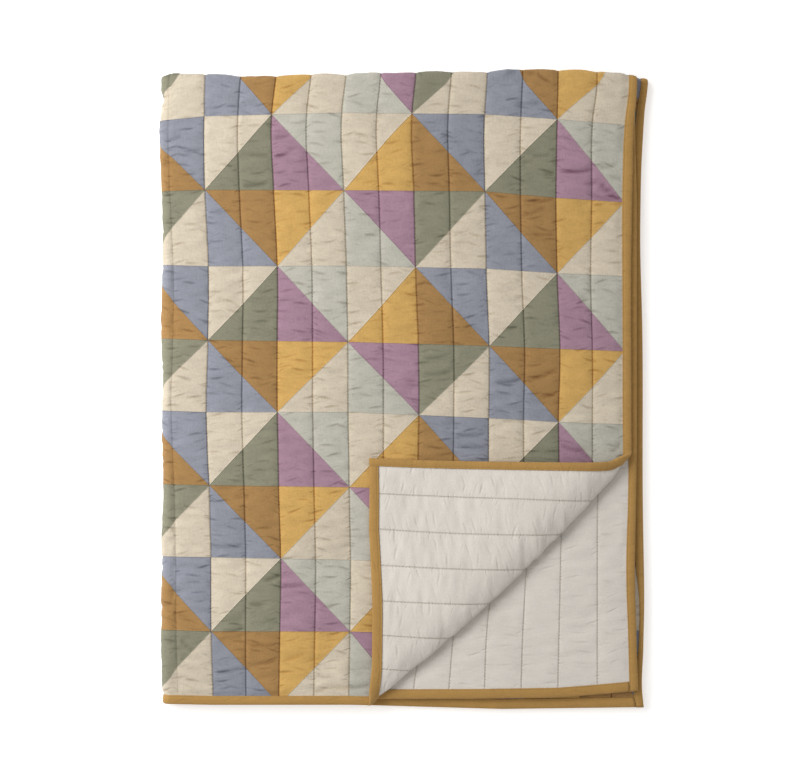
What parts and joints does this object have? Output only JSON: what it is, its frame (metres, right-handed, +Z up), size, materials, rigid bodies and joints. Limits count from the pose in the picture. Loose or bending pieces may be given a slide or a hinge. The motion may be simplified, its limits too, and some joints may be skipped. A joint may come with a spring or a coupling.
{
  "type": "folded patchwork quilt",
  "caption": "Cotton throw quilt of half-square-triangle patches, folded in four on a flat surface, with one corner turned back to show its plain backing.",
  "frame": {"origin": "centre of the folded quilt's bounding box, on the surface it rests on", "axes": "+Z up through the folded layers; +Y along the quilt towards its first fold; +X across, away from the side fold"},
  "size_m": [0.6604, 0.8602, 0.0357],
  "materials": {
    "patchwork_cotton": "soft washed cotton patches in cream, blue, sage, ochre, mustard, mauve and pale green",
    "backing_cotton": "plain cream cotton with lengthwise quilting lines",
    "binding_cotton": "mustard cotton, folded over the edge and stitched"
  },
  "bodies": {
    "root": {"quilted_patchwork": "patchwork_cotton", "backing": "backing_cotton", "binding_right": "binding_cotton", "binding_left": "binding_cotton", "binding_foot": "binding_cotton", "binding_head": "binding_cotton"}
  },
  "joints": []
}
